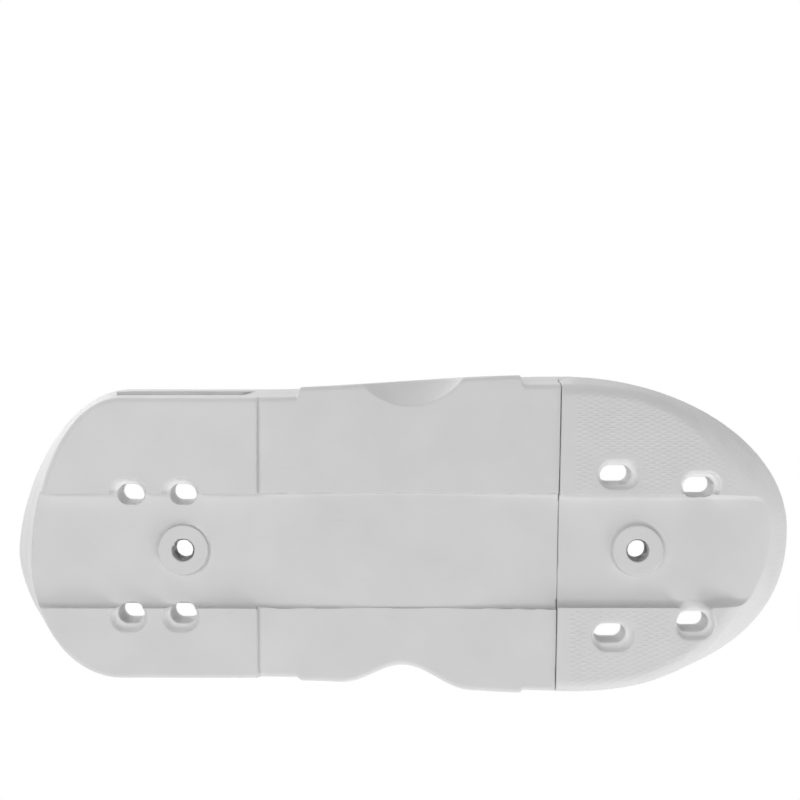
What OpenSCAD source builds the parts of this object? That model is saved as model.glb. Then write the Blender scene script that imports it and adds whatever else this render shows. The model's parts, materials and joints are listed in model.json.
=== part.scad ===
// Aggressive skate soul plate for a right foot, boot side up.
// The origin lies midway between the two frame bolts, on the plane of the bosses that bear on the frame.
// Heights in the settings are measured from the ground that the heel and toe wings slide on.
// +X points to the toe, -Y to the outer side of the foot, +Z up to the boot.

/* [Frame mount] */
// Distance between the two frame bolts
frame_bolt_spacing = 165; // [155:1:172]
// Bore inside the thread of the frame nuts
nut_bore_d = 6.8; // [5:0.1:7.6]
// Clearance hole for the frame bolt below each nut
bolt_hole_d = 8.2; // [7.8:0.1:9]
// Diameter of the threaded barrel of a frame nut
nut_barrel_d = 12; // [10:0.5:14]
// Length of a frame nut's plate along the skate
nut_plate_l = 24; // [20:1:28]
// Width of a frame nut's plate across the skate
nut_plate_w = 20; // [18:1:24]
// Thickness of a frame nut's plate
nut_plate_t = 2.5; // [2:0.1:3]
// Diameter of the round bosses that bear on the frame
boss_d = 18.2; // [16:0.2:22]
// Height of the round bosses
boss_h = 2; // [1:0.1:3]
// Thickness of the boss under the end of a frame nut's barrel
nut_lip = 0.8; // [0.6:0.1:1.2]
// Spread of the front boss at its foot
boss_flank = 2.5; // [0.5:0.1:4]

/* [Frame channel] */
// Width of the channel between the wings
channel_w = 41; // [36:0.5:44]
// Height of the channel floor above the ground
channel_z = 4.5; // [3.5:0.1:5]
// Run of the channel's sloped sides on the main plate
channel_slope = 0.8; // [0.4:0.1:3]
// Run of the channel's sloped sides on the toe plate
toe_channel_slope = 1.6; // [1:0.1:4]
// Height where the channel runs out through the toe's front
channel_end_z = 22; // [20:0.1:24]
// Length over which the channel sweeps up to the toe's front
channel_sweep = 34; // [30:1:40]

/* [Outline of the rim] */
// Reach of the rim behind the origin
heel_reach = 149; // [145:0.5:152]
// Reach of the rim in front of the origin
toe_reach = 143.6; // [140:0.2:148]
// Length of the round heel end
heel_round = 44; // [38:1:46]
// Length of the round toe end
toe_round = 87; // [84:1:89]
// Half width of the heel on the outer side
heel_outer = 57.2; // [55:0.2:59]
// Half width of the heel on the inner side
heel_inner = 51.8; // [50:0.2:54]
// Half width of the toe on the outer side
toe_outer = 62; // [60:0.1:64]
// Half width of the toe on the inner side
toe_inner = 56.6; // [55:0.2:59]
// Sharpness of the heel's outline at the rim, 1 being an ellipse
heel_sharp = 1.2; // [1:0.05:1.4]
// Fullness of the toe's outline on the outer side, 2 being an ellipse
toe_outer_full = 1.95; // [1.8:0.05:2.3]
// Fullness of the toe's outline on the inner side
toe_inner_full = 2.3; // [2:0.05:2.6]
// Fullness of the toe's outline at the foot of the walls
toe_foot_full = 2.45; // [2.2:0.05:2.6]
// Offset of the rearmost point towards the inner side
heel_tip_y = 5; // [0:0.5:8]
// Offset of the foremost point towards the inner side
toe_tip_y = -4; // [-8:0.5:2]

/* [Walls] */
// Lean of the heel's back wall, from its foot to the rim
heel_lean = 11.7; // [8:0.1:14]
// Lean of the outer side wall
outer_lean = 1.8; // [1:0.1:3]
// Lean of the inner side wall
inner_lean = 5.5; // [3:0.1:6]
// Lean of the toe's front, from its foot to the rim
toe_lean = 23.4; // [20:0.2:27]
// Run of the rounding under the main plate's outer side and heel
edge_run = 3; // [2:0.1:4]
// Run of the rounding under the main plate's inner side
inner_edge_run = 1.8; // [1:0.1:3]
// Run of the rounding under the toe
toe_edge_run = 5; // [3:0.1:6]
// Distance from the origin to where the toe's underside starts to sweep up
toe_sweep_x = 104; // [100:0.5:108]
// Height of the swept underside at the foot of the toe's front
toe_sweep_z = 8.5; // [6:0.1:9.5]
// Thickness of the walls
wall = 3.6; // [3:0.1:4.2]
// Rounding inside the foot of the walls
inner_round = 1.4; // [0.8:0.1:3]
// Thickness of the skin over the frame channel
skin = 3.5; // [3:0.1:4.5]
// Height of the rim at the heel's back
rim_heel_z = 34.4; // [32:0.2:37]
// Height of the rim behind the arch
rim_mid_z = 30; // [28.5:0.1:32]
// Height of the rim at the toe seam
rim_seam_z = 31; // [29:0.1:33]
// Height of the rim at the toe's tip
rim_toe_z = 37.4; // [35:0.2:40]
// How much higher the inner toe rim stands
toe_inner_rise = 3; // [0:0.1:4]
// Distance from the origin back to where the rim starts to rise
rim_rise_x = 78; // [70:1:85]
// Length over which the rim rises to the heel's back
rim_rise_l = 62; // [50:1:68]

/* [Arch] */
// Distance from the origin back to the step between heel and arch
heel_step = 55.5; // [52:0.5:58]
// Clearance under the arch just ahead of the heel step
arch_rear_z = 2.3; // [1:0.1:3.2]
// Clearance under the middle of the arch
arch_mid_z = 3.9; // [3:0.1:4.2]
// Clearance under the arch at the toe seam
arch_front_z = 1.4; // [0.5:0.1:2.5]
// Half length of the raised side panels at their foot
panel_foot = 39.5; // [34:0.5:44]
// Half length of the raised side panels at the rim
panel_top = 21.7; // [18:0.1:28]
// Height where the panels' ends start to slope
panel_knee_z = 8.5; // [8.5:0.5:12]
// How far the outer panel stands proud at the rim
panel_proud = 0.8; // [0.4:0.1:2]
// How far the outer panel stands proud at its foot
panel_foot_proud = 3.6; // [2:0.1:4.4]
// How far the inner panel stands proud
inner_panel_proud = 1.2; // [0.6:0.1:2]
// Radius of the round grind groove in the outer side
groove_r = 24.6; // [22:0.2:27]
// Width of the groove's mouth
groove_w = 38; // [32:0.5:40]
// Height of the groove's top above the ground
groove_top_z = 15.7; // [13:0.1:16]
// Offset of the inner side's hollow from the middle
hollow_x = -2; // [-4:0.5:2]
// Half length of the bell shaped hollow in the inner side
hollow_half = 24; // [20:0.5:26]
// Depth of the hollow in the inner side
hollow_depth = 8; // [5:0.2:9]

/* [Toe seam] */
// Distance from the origin to the toe seam
seam_x = 53.2; // [51:0.1:54]
// Gap between the main plate and the toe plate
seam_gap = 0.6; // [0.3:0.1:1]
// Height where the seam starts to bend forward
seam_bend_z = 16; // [14:0.5:20]
// Radius of the seam's bend
seam_bend_r = 20.6; // [18:0.2:30]
// Length of the main plate's lap over the toe plate's floor
lap_l = 11.5; // [10.5:0.1:12]
// Thickness of the lap
lap_t = 3.4; // [2.8:0.1:4]
// Distance from the lap's sides to the wall
lap_side = 3; // [2:0.5:5]
// Clearance between the lap and the toe plate's tubes and nut pad
lap_gap = 0.4; // [0.3:0.1:1]

/* [Boot bolts] */
// Width of the boot bolt slots
slot_w = 7.3; // [6.4:0.1:8]
// Length of the heel's boot bolt slots
heel_slot_l = 9.8; // [9:0.2:12]
// Length of the toe's boot bolt slots
toe_slot_l = 11.6; // [10:0.2:13]
// Distance between the heel slots along the skate
heel_slot_pitch = 19; // [17:0.5:22]
// Distance between the heel slots across the skate
heel_slot_span = 43.6; // [40:0.2:46]
// Distance from the origin to the toe's rear slots
toe_slot_rear_x = 73.5; // [72:0.5:76]
// Distance from the origin to the toe's front slots
toe_slot_front_x = 103.5; // [100:0.5:106]
// Distance between the toe's rear slots across the skate
toe_slot_rear_span = 57.6; // [54:0.2:60]
// Distance between the toe's front slots across the skate
toe_slot_front_span = 49.2; // [46:0.2:52]
// Offset of the boot bolt slots towards the inner side
slot_shift_y = 1.5; // [0:0.1:2]
// How much further forward the outer toe slots lie than the inner ones
toe_slot_skew = 1.8; // [0:0.1:3]
// Run of the recess round each slot, whose floor is level with the channel's
recess_run = 1.8; // [1.2:0.1:2.4]
// How far each recess is shifted away from the middle of the plate
recess_shift = 0.7; // [0:0.1:1.2]
// Width of the notch from the inner front recess to the channel
notch_l = 10; // [8:0.5:11]
// Thickness of the tube round each slot
tube_t = 2.6; // [2:0.1:3.2]

/* [Ribs] */
// Height of the boot seat on the tops of the ribs
seat_z = 18; // [17:0.5:20]
// Thickness of the ribs
rib_t = 2.6; // [2:0.1:3.4]
// Distance between the cross ribs under the arch
rib_pitch = 26; // [22:1:28]
// Distance from the middle to the long ribs
rib_y = 34; // [32:0.5:36]

/* [Lap screws] */
// Diameter of the lap screws
screw_d = 4; // [3:0.1:4.4]
// Diameter of the lap screws' heads
screw_head_d = 7.6; // [7:0.1:8.4]
// Height of the lap screws' heads
screw_head_h = 2.6; // [2:0.1:3]
// Across flats of the screws' hexagon sockets
screw_socket = 2.5; // [2:0.1:3]
// Outer diameter of the threaded inserts
insert_d = 5.8; // [5.4:0.1:6.4]
// Length of the threaded inserts
insert_l = 5.4; // [4:0.1:6]
// Distance from the toe seam to the row of lap screws
screw_row = 6; // [5.5:0.1:6.5]
// Distance from the middle to the nearer screws of each wing
screw_near_y = 29; // [27:0.5:31]
// Distance between the two screws of a wing
screw_pitch = 13; // [11:0.5:14]

/* [Side badge] */
// Length of the blank badge on the outer heel wall
badge_l = 47; // [40:0.5:48]
// Height of the badge
badge_h = 11.6; // [9:0.2:13]
// Thickness of the badge
badge_t = 1.2; // [0.8:0.1:1.6]
// Depth of the badge's pocket in the wall
badge_pocket = 0.8; // [0.5:0.1:1]
// Slant of the badge's ends
badge_slant = 3; // [0:0.5:5]
// Distance from the origin back to the badge's middle
badge_x = 82.8; // [80:0.2:83]
// Height of the badge's middle
badge_z = 17.4; // [16:0.2:19]

/* [Fits] */
// Clearance round each loose metal piece
fit = 0.05; // [0.03:0.01:0.1]
// Clearance round the lap screws in the lap
screw_gap = 0.15; // [0.1:0.05:0.3]

/* [Hidden] */
$fn = 64;

OUTER = -1;
INNER = 1;
far = 400;
heel_x = heel_round - heel_reach;
toe_x = toe_reach - toe_round;
bolt_x = frame_bolt_spacing / 2;
floor_z = channel_z + skin;
boss_z = channel_z - boss_h;
nut_end_z = boss_z + nut_lip;
pocket_z = floor_z + skin;
nut_top_z = pocket_z + nut_plate_t;
step_draft = 0.4;
panel_ramp = 2;
heel_steps = 8;
rear_steps = 4;
arch_steps = 3;
panel_steps = 14;
toe_steps = 12;
round_steps = [0, 0.25, 0.5, 0.75, 1];
seam_steps = 6;
seam_over = 40;
cavity_top = 50;
sweep_end_x = toe_reach - toe_lean * (1 - toe_sweep_z / rim_toe_z);
sweep_rate = toe_sweep_z / pow(sweep_end_x - toe_sweep_x, 2);
groove_back = sqrt(groove_r * groove_r - groove_w * groove_w / 4);
screw_ys = [for (side = [OUTER, INNER]) for (k = [0, 1]) side * (screw_near_y + k * screw_pitch)];
screw_x = seam_x + screw_row;
lap_z = floor_z + fit;
rib_xs = [for (k = [-2 : 1]) (k + 0.5) * rib_pitch];

function mix(a, b, t) = a + (b - a) * t;
function smooth(t) = let(u = min(1, max(0, t))) u * u * (3 - 2 * u);
function unit(v) = v / norm(v);

// Half width of the rim between the round ends
function half_width(side, x) =
    let(t = smooth((x + heel_step) / (seam_x + heel_step)))
    side == OUTER ? mix(heel_outer, toe_outer, t) : mix(heel_inner, toe_inner, t);

// Depth of the bell shaped hollow at a place along the inner side
function hollow(side, x) =
    let(t = min(1, abs(x - hollow_x) / hollow_half))
    side == OUTER ? 0 : hollow_depth * (1 + cos(180 * t)) / 2;

// Places along the straight sides, each with 1 on the raised panel and 0 off it
function side_places(panel_end) =
    let(end = panel_end + panel_ramp)
    concat(
        [for (k = [0 : rear_steps]) [mix(heel_x, -heel_step, k / rear_steps), 0]],
        [for (k = [0 : arch_steps]) [mix(step_draft - heel_step, -end, k / arch_steps), 0]],
        [for (k = [0 : panel_steps]) [mix(-panel_end, panel_end, k / panel_steps), 1]],
        [for (k = [0 : arch_steps]) [mix(end, toe_x, k / (arch_steps + 1)), 0]]
    );

// Half of the outline on one side, from the heel's back to the toe's tip
// up is 0 at the foot of the wall and 1 at the rim, panel is 1 with the raised panels and 0 without
function side_outline(side, up, panel_end, panel) =
    let(
        drop = (side == OUTER ? outer_lean : inner_lean) * (1 - up),
        heel_len = heel_round - heel_lean * (1 - up),
        toe_len = toe_round - toe_lean * (1 - up),
        heel_w = half_width(side, heel_x) - drop,
        toe_w = half_width(side, toe_x) - drop,
        sharp = mix(1, heel_sharp, up),
        bend = 2 / mix(toe_foot_full, side == OUTER ? toe_outer_full : toe_inner_full, up),
        proud = panel * (side == OUTER ? mix(panel_foot_proud, panel_proud, up) : inner_panel_proud)
    )
    concat(
        [for (k = [0 : heel_steps - 1]) let(a = 90 * k / heel_steps)
            [heel_x - heel_len * cos(a), heel_tip_y + (side * heel_w - heel_tip_y) * pow(sin(a), sharp)]],
        [for (p = side_places(panel_end))
            [p[0], side * (half_width(side, p[0]) - drop + p[1] * proud - hollow(side, p[0]))]],
        [for (k = [0 : toe_steps]) let(a = 90 * (1 - k / toe_steps))
            [toe_x + toe_len * pow(cos(a), bend), toe_tip_y + (side * toe_w - toe_tip_y) * pow(sin(a), bend)]]
    );

side_count = heel_steps + len(side_places(panel_foot)) + toe_steps + 1;
loop_count = 2 * side_count - 2;

// Closed outline, heel to toe along the outer side and back along the inner side
function outline(up, panel_end, panel) =
    let(
        outer = side_outline(OUTER, up, panel_end, panel),
        inner = side_outline(INNER, up, panel_end, panel)
    )
    concat(outer, [for (i = [1 : side_count - 2]) inner[side_count - 1 - i]]);

// Outward directions square to a closed outline
function normals(loop) =
    [for (j = [0 : loop_count - 1])
        let(d = unit(loop[(j + 1) % loop_count] - loop[(j + loop_count - 1) % loop_count]))
        [d.y, -d.x]];

function side_of(j) = j < side_count ? OUTER : INNER;

function rim_z(side, x) =
    x < 0 ? rim_mid_z + (rim_heel_z - rim_mid_z) * smooth((-x - rim_rise_x) / rim_rise_l)
          : x < seam_x ? mix(rim_mid_z, rim_seam_z, x / seam_x)
          : mix(rim_seam_z, rim_toe_z, (x - seam_x) / (toe_reach - seam_x))
            + (side == OUTER ? 0 : toe_inner_rise * sin(180 * (x - seam_x) / (toe_reach - seam_x)));

// Height of the underside of the main plate's wings
function foot_z(x) =
    x < step_draft - heel_step ? 0
    : x < 0 ? mix(arch_mid_z, arch_rear_z, pow(x / heel_step, 2))
    : mix(arch_mid_z, arch_front_z, pow(x / seam_x, 2));

// Height of the toe's swept underside
function sweep_z(x) = sweep_rate * pow(max(0, x - toe_sweep_x), 2);

// Height where the toe's wall, which leans from low to over by its rim, meets the swept underside
function toe_foot_z(low, over, rim) =
    let(
        past = low.x - toe_sweep_x,
        lean = (over.x - low.x) / rim,
        part = sweep_rate * past * lean
    )
    past <= 0 ? 0 : (1 - 2 * part - sqrt(1 - 4 * part)) / (2 * sweep_rate * lean * lean);

// Run of the rounding under the wall
function round_run(side, x, arched) =
    !arched ? toe_edge_run
    : side == OUTER ? edge_run : mix(edge_run, inner_edge_run, smooth((x - heel_x) / heel_round));

// Place on the rounded foot of the wall: s runs from the underside to the wall, inset moves it into the wall
function wall_point(b, r, n, foot, rim, run, arched, s, inset) =
    let(
        lean = [r.x - b.x, r.y - b.y, rim - foot],
        up = unit(lean),
        corner = [b.x, b.y, foot],
        under = b - run * n,
        start = [under.x, under.y, arched ? foot : sweep_z(under.x)],
        end = corner + run * up,
        square = [-n.x * up.z, -n.y * up.z, n.x * up.x + n.y * up.y],
        inward = unit(mix([0, 0, 1], square, s))
    )
    (1 - s) * (1 - s) * start + 2 * s * (1 - s) * corner + s * s * end + inset * inward;

// Rings of points from the underside up to the rim, and on to the height top where one is given
function wall_rings(arched, inset, panel, top) =
    let(
        spots = [for (j = [0 : loop_count - 1]) j],
        flat = outline(0, panel_foot, panel),
        over = outline(1, panel_foot, panel),
        high = outline(1, panel == 1 ? panel_top : panel_foot, panel),
        over_zs = [for (j = spots) rim_z(side_of(j), over[j].x)],
        feet = [for (j = spots) arched ? foot_z(flat[j].x) : toe_foot_z(flat[j], over[j], over_zs[j])],
        low = arched ? flat : [for (j = spots) mix(flat[j], over[j], feet[j] / over_zs[j])],
        low_out = normals(low),
        high_out = normals(high),
        least = inset == 0 ? 0 : inset + inner_round,
        runs = [for (j = spots) max(least, round_run(side_of(j), low[j].x, arched))],
        rim = [for (j = spots) high[j] - inset * high_out[j]],
        knee = panel_knee_z / rim_mid_z
    )
    concat(
        [for (s = round_steps) [for (j = spots)
            wall_point(low[j], over[j], low_out[j], feet[j], over_zs[j], runs[j], arched, s, inset)]],
        panel == 0 ? [] : [[for (j = spots) let(p = mix(low[j], over[j], knee))
            [p.x, p.y, mix(feet[j], over_zs[j], knee)]]],
        [[for (j = spots) [rim[j].x, rim[j].y, rim_z(side_of(j), high[j].x)]]],
        top == undef ? [] : [[for (p = rim) [p.x, p.y, top]]]
    );

// Solid between the first and the last ring, closed by strips from side to side
module loft(rings) {
    count = len(rings);
    m = side_count - 1;
    walls = [for (k = [0 : count - 2]) for (j = [0 : loop_count - 1])
        let(a = k * loop_count + j, b = k * loop_count + (j + 1) % loop_count)
        each [[a, a + loop_count, b], [b, a + loop_count, b + loop_count]]];
    strip = concat(
        [[0, 1, loop_count - 1], [m - 1, m, m + 1]],
        [for (i = [1 : m - 2]) let(j = loop_count - i)
            each [[i, i + 1, j], [i + 1, j - 1, j]]]
    );
    top = (count - 1) * loop_count;
    polyhedron(
        points = [for (ring = rings) each ring],
        faces = concat(walls, strip, [for (f = strip) [f[0] + top, f[2] + top, f[1] + top]])
    );
}

// Moves a piece from the ground up to the origin's height
module on_datum() {
    translate([0, 0, -boss_z])
        children();
}

// Upright prism of a side profile, right across the plate
module across(profile) {
    translate([0, far / 2, 0])
        rotate([90, 0, 0])
        linear_extrude(far)
        polygon(profile);
}

// Side profile of everything behind the toe seam, or in front of it
function seam_profile(shift, beyond) =
    let(
        bend = asin((rim_seam_z - seam_bend_z) / seam_bend_r),
        turn = [for (k = [0 : seam_steps]) let(a = bend * k / seam_steps)
            [seam_x + shift + seam_bend_r * (1 - cos(a)), seam_bend_z + seam_bend_r * sin(a)]],
        last = turn[seam_steps]
    )
    concat(
        [[beyond, -far], [seam_x + shift, -far]],
        turn,
        [[last.x + seam_over * tan(bend), last.y + seam_over], [beyond, last.y + seam_over]]
    );

// Upright slot with round ends, centred on the origin of the plan
module slot_prism(l, w, z0, z1) {
    straight = l - w;
    translate([-straight / 2, -w / 2, z0])
        cube([straight, w, z1 - z0]);
    for (end = [-1, 1])
        translate([end * straight / 2, 0, z0])
        cylinder(d = w, h = z1 - z0);
}

// Places of the slots, with $out pointing away from the middle of the plate
module at_heel_slots() {
    for (k = [0, 1])
        for (side = [OUTER, INNER])
            let($out = [-1, side])
            translate([-bolt_x - k * heel_slot_pitch, slot_shift_y + side * heel_slot_span / 2, 0])
            children();
}

module at_toe_slots() {
    spots = [[toe_slot_rear_x, toe_slot_rear_span / 2], [toe_slot_front_x, toe_slot_front_span / 2]];
    for (spot = spots)
        for (side = [OUTER, INNER])
            let($out = [1, side])
            translate([spot.x - side * toe_slot_skew / 2, slot_shift_y + side * spot.y, 0])
            children();
}

// Slot for a boot bolt with the recess for its head below
module boot_slot(l) {
    slot_prism(l, slot_w, -far, far);
    translate(recess_shift * $out)
        slot_prism(l + 2 * recess_run, slot_w + 2 * recess_run, -far, channel_z);
}

module slot_tube(l, grow) {
    t = tube_t + grow;
    slot_prism(l + 2 * t, slot_w + 2 * t, 0, seat_z);
}

// Thick floor round a recess
module slot_collar(l) {
    t = recess_run + wall;
    translate(recess_shift * $out)
        slot_prism(l + 2 * t, slot_w + 2 * t, 0, floor_z);
}

module cross_rib(x) {
    translate([x - rib_t / 2, -far / 2, 0])
        cube([rib_t, far, seat_z]);
}

module long_rib(y, x0, x1) {
    translate([x0, y - rib_t / 2, 0])
        cube([x1 - x0, rib_t, seat_z]);
}

// Raised pad with the pocket that keeps a frame nut from turning
module nut_pad(x, grow) {
    t = wall + grow;
    translate([x, 0, nut_top_z / 2])
        cube([nut_plate_l + 2 * t, nut_plate_w + 2 * t, nut_top_z], center = true);
}

module nut_seat(x) {
    translate([x - nut_plate_l / 2 - fit, -nut_plate_w / 2 - fit, pocket_z])
        cube([nut_plate_l + 2 * fit, nut_plate_w + 2 * fit, far]);
    translate([x, 0, nut_end_z])
        cylinder(d = nut_barrel_d + 2 * fit, h = far);
    translate([x, 0, -far / 2])
        cylinder(d = bolt_hole_d, h = far);
}

// Recess between the wings, cut along the plate
module channel(slope, x0, x1) {
    half = channel_w / 2;
    reach = half + slope;
    translate([x0, 0, 0])
        rotate([90, 0, 90])
        linear_extrude(x1 - x0)
        polygon([[-reach, -channel_z], [reach, -channel_z], [half, 0], [half - slope, channel_z],
            [slope - half, channel_z], [-half, 0]]);
}

module groove(grow) {
    translate([0, -half_width(OUTER, 0) - panel_proud - groove_back, groove_top_z - groove_w / 2])
        sphere(r = groove_r + grow);
}

// Plane of the outer heel wall, with X along the wall, Y up it and Z out of it
module on_outer_wall() {
    tilt = atan(outer_lean / rim_mid_z);
    y = outer_lean - heel_outer - badge_z * tan(tilt);
    translate([-badge_x, y, badge_z])
        rotate([90 - tilt, 0, 0])
        children();
}

module badge_prism(grow, z0, z1) {
    l = badge_l / 2 + grow;
    h = badge_h / 2 + grow;
    translate([0, 0, z0])
        linear_extrude(z1 - z0)
        polygon([[-l - badge_slant / 2, -h], [l - badge_slant / 2, -h], [l + badge_slant / 2, h],
            [-l + badge_slant / 2, h]]);
}

// Hollow of the plate above its skin, with the ribs and tubes left standing
module cavity(arched) {
    difference() {
        loft(wall_rings(arched, wall, 0, cavity_top));
        translate([-far, -channel_w / 2 - wall, floor_z - far])
            cube([2 * far, channel_w + 2 * wall, far]);
        children();
    }
}

module main_plate() {
    lap_outer = half_width(OUTER, seam_x) - wall - lap_side;
    lap_inner = half_width(INNER, seam_x) - wall - lap_side;
    color("whitesmoke")
    on_datum()
    difference() {
        union() {
            difference() {
                loft(wall_rings(true, 0, 1));
                cavity(true) {
                    for (x = rib_xs)
                        cross_rib(x);
                    cross_rib(-heel_step);
                    for (side = [OUTER, INNER])
                        long_rib(side * rib_y, heel_x, rib_xs[3]);
                    long_rib(0, nut_plate_l / 2 - bolt_x, rib_xs[3]);
                    at_heel_slots() {
                        slot_tube(heel_slot_l, 0);
                        slot_collar(heel_slot_l);
                    }
                    nut_pad(-bolt_x, 0);
                    groove(wall);
                    translate([rib_xs[3], -far / 2, 0])
                        cube([far, far, lap_z + lap_t]);
                }
                across(seam_profile(0, far));
                channel(channel_slope, -far, far);
            }
            translate([-bolt_x, 0, boss_z])
                cylinder(d = boss_d, h = boss_h + skin);
            difference() {
                translate([seam_x - wall, -lap_outer, lap_z])
                    cube([lap_l + wall, lap_outer + lap_inner, lap_t]);
                at_toe_slots()
                    slot_tube(toe_slot_l, lap_gap);
                nut_pad(bolt_x, lap_gap);
            }
        }
        groove(0);
        nut_seat(-bolt_x);
        at_heel_slots()
            boot_slot(heel_slot_l);
        for (y = screw_ys)
            translate([screw_x, y, 0])
            cylinder(d = screw_d + 2 * screw_gap, h = far);
        on_outer_wall()
            badge_prism(fit, -badge_pocket, far);
    }
}

// Side profile of the frame channel where it runs out through the toe's front
function toe_channel_profile() =
    let(
        end = [toe_reach - toe_lean * (1 - channel_end_z / rim_toe_z), channel_end_z],
        start = [end.x - channel_sweep, channel_z],
        knee = [start.x + channel_sweep / 2, channel_z]
    )
    concat(
        [[0, -far], [0, channel_z]],
        [for (k = [0 : seam_steps]) let(t = k / seam_steps)
            (1 - t) * (1 - t) * start + 2 * t * (1 - t) * knee + t * t * end],
        [[far, end.y], [far, -far]]
    );

module toe_channel(grow) {
    half = channel_w / 2 + grow;
    low = half + toe_channel_slope;
    top = half - toe_channel_slope;
    intersection() {
        across(toe_channel_profile());
        rotate([90, 0, 90])
            linear_extrude(far)
            polygon([[-low, -channel_z], [low, -channel_z], [half, 0], [top, channel_z], [top, far],
                [-top, far], [-top, channel_z], [-half, 0]]);
    }
}

// Notch that opens the inner front recess into the channel
module toe_notch() {
    x = toe_slot_front_x - toe_slot_skew / 2 + recess_shift;
    y = slot_shift_y + toe_slot_front_span / 2;
    edge = channel_w / 2 - toe_channel_slope;
    translate([x - notch_l / 2, edge, -far])
        cube([notch_l, y - edge, far + channel_z]);
}

module toe_plate() {
    color("whitesmoke")
    on_datum()
    difference() {
        union() {
            difference() {
                loft(wall_rings(false, 0, 0));
                cavity(false) {
                    cross_rib(toe_slot_front_x - toe_slot_l / 2 - tube_t - rib_t);
                    long_rib(0, bolt_x + nut_plate_l / 2, toe_reach - toe_lean);
                    at_toe_slots() {
                        slot_tube(toe_slot_l, 0);
                        slot_collar(toe_slot_l);
                    }
                    nut_pad(bolt_x, 0);
                    translate([0, -far / 2, 0])
                        cube([seam_x + lap_l + wall, far, floor_z]);
                    translate([-skin, 0, skin])
                        toe_channel(wall);
                }
                across(seam_profile(seam_gap, -far));
                toe_channel(0);
            }
            translate([bolt_x, 0, boss_z])
                cylinder(d1 = boss_d, d2 = boss_d + 2 * boss_flank, h = boss_h);
        }
        nut_seat(bolt_x);
        at_toe_slots()
            boot_slot(toe_slot_l);
        toe_notch();
        for (y = screw_ys)
            translate([screw_x, y, floor_z - insert_l - fit])
            cylinder(d = insert_d + 2 * fit, h = far);
    }
}

// Steel nut with a plate that bears inside the plate and a threaded barrel below
module frame_nut(x) {
    color("silver")
    on_datum()
    translate([x, 0, 0])
    difference() {
        union() {
            translate([-nut_plate_l / 2, -nut_plate_w / 2, pocket_z])
                cube([nut_plate_l, nut_plate_w, nut_plate_t]);
            translate([0, 0, nut_end_z])
                cylinder(d = nut_barrel_d, h = nut_top_z - nut_end_z);
        }
        cylinder(d = nut_bore_d, h = far);
    }
}

module rear_frame_nut() {
    frame_nut(-bolt_x);
}

module front_frame_nut() {
    frame_nut(bolt_x);
}

module lap_screws() {
    head_z = lap_z + lap_t;
    socket_z = head_z + screw_head_h / 2;
    color("silver")
    on_datum()
    for (y = screw_ys)
        translate([screw_x, y, 0])
        difference() {
            union() {
                translate([0, 0, head_z])
                    cylinder(d = screw_head_d, h = screw_head_h);
                translate([0, 0, floor_z - insert_l])
                    cylinder(d = screw_d, h = socket_z - floor_z + insert_l);
            }
            translate([0, 0, socket_z])
                cylinder(d = screw_socket / cos(30), h = far, $fn = 6);
        }
}

module lap_inserts() {
    color("goldenrod")
    on_datum()
    for (y = screw_ys)
        translate([screw_x, y, floor_z - insert_l])
        difference() {
            cylinder(d = insert_d, h = insert_l);
            translate([0, 0, -far / 2])
                cylinder(d = screw_d + 2 * fit, h = far);
        }
}

module side_badge() {
    color("dimgray")
    on_datum()
    on_outer_wall()
        badge_prism(0, -badge_pocket, badge_t - badge_pocket);
}

main_plate();
toe_plate();
rear_frame_nut();
front_frame_nut();
lap_screws();
lap_inserts();
side_badge();
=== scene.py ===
import json
import math

import bpy
import numpy as np
from mathutils import Matrix, Vector


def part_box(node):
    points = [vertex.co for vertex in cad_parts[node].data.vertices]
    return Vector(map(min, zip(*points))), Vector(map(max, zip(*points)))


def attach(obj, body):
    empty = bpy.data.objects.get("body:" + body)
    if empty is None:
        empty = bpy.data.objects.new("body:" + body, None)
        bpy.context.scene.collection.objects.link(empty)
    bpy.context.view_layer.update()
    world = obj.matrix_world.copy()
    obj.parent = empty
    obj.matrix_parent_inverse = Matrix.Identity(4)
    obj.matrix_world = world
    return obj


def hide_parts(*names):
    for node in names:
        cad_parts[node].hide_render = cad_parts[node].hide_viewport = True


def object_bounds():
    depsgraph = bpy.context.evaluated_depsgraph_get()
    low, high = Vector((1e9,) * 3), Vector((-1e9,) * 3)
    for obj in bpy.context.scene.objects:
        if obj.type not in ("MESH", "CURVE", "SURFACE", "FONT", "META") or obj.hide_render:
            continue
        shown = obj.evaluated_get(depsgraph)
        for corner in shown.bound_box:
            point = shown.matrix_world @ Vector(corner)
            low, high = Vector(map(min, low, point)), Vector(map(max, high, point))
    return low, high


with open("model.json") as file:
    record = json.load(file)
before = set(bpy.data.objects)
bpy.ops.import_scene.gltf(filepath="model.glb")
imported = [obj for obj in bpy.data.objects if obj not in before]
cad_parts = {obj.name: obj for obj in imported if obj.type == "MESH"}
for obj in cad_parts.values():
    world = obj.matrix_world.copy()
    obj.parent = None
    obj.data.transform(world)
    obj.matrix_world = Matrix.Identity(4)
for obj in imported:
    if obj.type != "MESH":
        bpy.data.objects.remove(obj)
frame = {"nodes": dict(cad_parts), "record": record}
box_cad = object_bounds()

# Sizes in millimetres, with heights measured from the ground under the wings
MM = 0.001


def in_mm(metres):
    return round(metres / MM, 3)


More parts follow.
